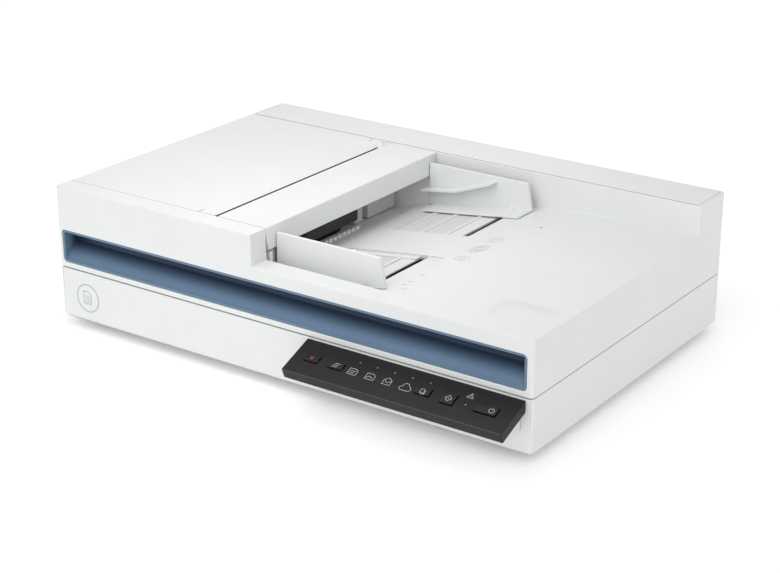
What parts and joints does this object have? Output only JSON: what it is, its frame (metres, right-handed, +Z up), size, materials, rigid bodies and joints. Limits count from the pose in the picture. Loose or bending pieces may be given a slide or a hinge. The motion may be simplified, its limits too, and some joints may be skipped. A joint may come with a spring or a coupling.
{
  "type": "flatbed document scanner with sheet feeder",
  "caption": "Flatbed document scanner with a hinged lid that holds an automatic sheet feeder, sliding paper guides and a sloped button panel.",
  "frame": {"origin": "on the surface it stands on, under the centre of the whole footprint", "axes": "+X to the right along the long side, -Y towards the user and the button panel, +Z up"},
  "size_m": [0.451, 0.3512, 0.1207],
  "materials": {
    "case_white": "fine satin texture",
    "sheet_white": "smooth white film",
    "inner_grey": "satin",
    "gear_plastic": "satin",
    "pan_grey": "satin",
    "panel_black": "fine matte texture",
    "button_black": "gloss",
    "inner_black": "satin",
    "roller_black": "matt rubber",
    "liner_blue": "satin",
    "foot_rubber": "matt",
    "steel": "drawn",
    "clear_glass": "polished",
    "board_green": "solder mask",
    "light_clear": "clear"
  },
  "bodies": {
    "base": {"base_pan": "pan_grey", "base_case": "case_white", "document_glass": "clear_glass", "feed_glass": "clear_glass", "white_reference_strip": "sheet_white", "foot_front_left": "foot_rubber", "foot_front_right": "foot_rubber", "foot_rear_left": "foot_rubber", "foot_rear_right": "foot_rubber", "guide_rod": "steel", "carriage_motor": "steel", "drive_belt": "foot_rubber", "control_board": "board_green", "usb_socket": "steel", "power_socket": "inner_black", "hinge_bracket_left": "case_white", "hinge_bracket_right": "case_white", "hinge_pin_left": "steel", "hinge_pin_right": "steel", "control_panel": "panel_black", "panel_bracket": "case_white", "panel_board": "board_green", "light_pipe": "light_clear", "warning_light": "light_clear"},
    "carriage": {"scan_carriage": "inner_black", "scan_bar": "inner_black", "lens_strip": "clear_glass"},
    "motor_pulley": {"motor_pulley": "gear_plastic"},
    "idler_pulley": {"idler_pulley": "gear_plastic"},
    "cancel_button": {"cancel_button": "button_black"},
    "select_button": {"select_button": "button_black"},
    "two_sided_button": {"two_sided_button": "button_black"},
    "start_button": {"start_button": "button_black"},
    "power_button": {"power_button": "button_black"},
    "lid": {"lid_cover": "case_white", "recess_liner": "liner_blue", "rear_bar_cover": "case_white", "lid_plate": "case_white", "backing_sheet": "sheet_white", "hinge_arm_left": "inner_grey", "hinge_arm_right": "inner_grey", "feeder_chassis": "case_white", "turn_core": "inner_grey", "turn_guide": "inner_grey", "back_scan_bar": "inner_black", "feeder_motor": "steel"},
    "cover": {"feeder_cover": "case_white", "cover_turn_guide": "inner_grey"},
    "rear_guide": {"rear_paper_guide": "case_white"},
    "front_guide": {"front_paper_guide": "case_white"},
    "guide_pinion": {"guide_pinion": "gear_plastic"},
    "pick_arm": {"pick_arm": "inner_black"},
    "pick_roller": {"pick_roller": "roller_black"},
    "feed_roller": {"feed_roller": "roller_black"},
    "separation_roller": {"separation_roller": "roller_black"},
    "transport_roller": {"transport_roller": "roller_black"},
    "exit_roller": {"exit_roller": "roller_black"},
    "drive_gear": {"drive_gear": "gear_plastic"},
    "motor_pinion": {"motor_pinion": "gear_plastic"}
  },
  "joints": [
    {"name": "lid_hinge", "type": "hinge", "parent": "base", "child": "lid", "pos_m": [0, 0.165, 0.056], "axis": [-1, 0, 0], "range_deg": [0, 85]},
    {"name": "feeder_cover_hinge", "type": "hinge", "parent": "lid", "child": "cover", "pos_m": [-0.2215, 0, 0.06], "axis": [0, -1, 0], "range_deg": [0, 75]},
    {"name": "carriage_slide", "type": "slide", "parent": "base", "child": "carriage", "axis": [1, 0, 0], "range_m": [0, 0.355]},
    {"name": "motor_pulley_spin", "type": "hinge", "parent": "base", "child": "motor_pulley", "pos_m": [0.2, 0.052, 0.02], "axis": [0, 0, 1], "range_deg": [-5, 2915]},
    {"name": "idler_pulley_spin", "type": "hinge", "parent": "base", "child": "idler_pulley", "pos_m": [-0.206, 0.052, 0.02], "axis": [0, 0, 1], "range_deg": [-5, 2915]},
    {"name": "cancel_press", "type": "slide", "parent": "base", "child": "cancel_button", "axis": [0, 0.373, -0.9278], "range_m": [0, 0.0008], "stiffness_N_per_m": 1500, "springref_m": -0.0004},
    {"name": "select_press", "type": "slide", "parent": "base", "child": "select_button", "axis": [0, 0.373, -0.9278], "range_m": [0, 0.0008], "stiffness_N_per_m": 1500, "springref_m": -0.0004},
    {"name": "two_sided_press", "type": "slide", "parent": "base", "child": "two_sided_button", "axis": [0, 0.373, -0.9278], "range_m": [0, 0.0008], "stiffness_N_per_m": 1500, "springref_m": -0.0004},
    {"name": "start_press", "type": "slide", "parent": "base", "child": "start_button", "axis": [0, 0.373, -0.9278], "range_m": [0, 0.0008], "stiffness_N_per_m": 1500, "springref_m": -0.0004},
    {"name": "power_press", "type": "slide", "parent": "base", "child": "power_button", "axis": [0, 0.373, -0.9278], "range_m": [0, 0.0008], "stiffness_N_per_m": 1500, "springref_m": -0.0004},
    {"name": "rear_guide_slide", "type": "slide", "parent": "lid", "child": "rear_guide", "axis": [0, -1, 0], "range_m": [-0.005, 0.05]},
    {"name": "front_guide_slide", "type": "slide", "parent": "lid", "child": "front_guide", "axis": [0, 1, 0], "range_m": [-0.005, 0.05]},
    {"name": "guide_pinion_spin", "type": "hinge", "parent": "lid", "child": "guide_pinion", "pos_m": [0.0624, -0.006, 0.077], "axis": [0, 0, 1], "range_deg": [-40, 362]},
    {"name": "pick_arm_swing", "type": "hinge", "parent": "lid", "child": "pick_arm", "pos_m": [-0.088, 0, 0.082], "axis": [0, -1, 0], "range_deg": [0, 10]},
    {"name": "pick_roller_spin", "type": "hinge", "parent": "pick_arm", "child": "pick_roller", "pos_m": [-0.062, 0, 0.0778], "axis": [0, 1, 0], "continuous": true},
    {"name": "feed_roller_spin", "type": "hinge", "parent": "lid", "child": "feed_roller", "pos_m": [-0.088, 0, 0.082], "axis": [0, 1, 0], "continuous": true},
    {"name": "separation_roller_spin", "type": "hinge", "parent": "lid", "child": "separation_roller", "pos_m": [-0.088, 0, 0.0631], "axis": [0, 1, 0], "continuous": true},
    {"name": "transport_roller_spin", "type": "hinge", "parent": "lid", "child": "transport_roller", "pos_m": [-0.13385, 0, 0.064], "axis": [0, 1, 0], "continuous": true},
    {"name": "exit_roller_spin", "type": "hinge", "parent": "lid", "child": "exit_roller", "pos_m": [-0.10336, 0, 0.10715], "axis": [0, 1, 0], "continuous": true},
    {"name": "drive_gear_spin", "type": "hinge", "parent": "lid", "child": "drive_gear", "pos_m": [-0.11943, 0.115, 0.088], "axis": [0, 1, 0], "continuous": true},
    {"name": "motor_pinion_spin", "type": "hinge", "parent": "lid", "child": "motor_pinion", "pos_m": [-0.13935, 0.115, 0.0995], "axis": [0, 1, 0], "continuous": true}
  ],
  "couplings": [
    {"joint": "motor_pulley_spin", "follows": "carriage_slide", "rad_per_m": 142.86},
    {"joint": "idler_pulley_spin", "follows": "carriage_slide", "rad_per_m": 142.86},
    {"joint": "front_guide_slide", "follows": "rear_guide_slide", "ratio": 1},
    {"joint": "guide_pinion_spin", "follows": "rear_guide_slide", "rad_per_m": 125},
    {"joint": "feed_roller_spin", "follows": "drive_gear_spin", "ratio": -1.2857},
    {"joint": "transport_roller_spin", "follows": "drive_gear_spin", "ratio": -1.8},
    {"joint": "exit_roller_spin", "follows": "drive_gear_spin", "ratio": -2.5714},
    {"joint": "motor_pinion_spin", "follows": "drive_gear_spin", "ratio": -3.6},
    {"joint": "pick_roller_spin", "follows": "drive_gear_spin", "ratio": -1.5429},
    {"joint": "separation_roller_spin", "follows": "drive_gear_spin", "ratio": 2.3736}
  ]
}
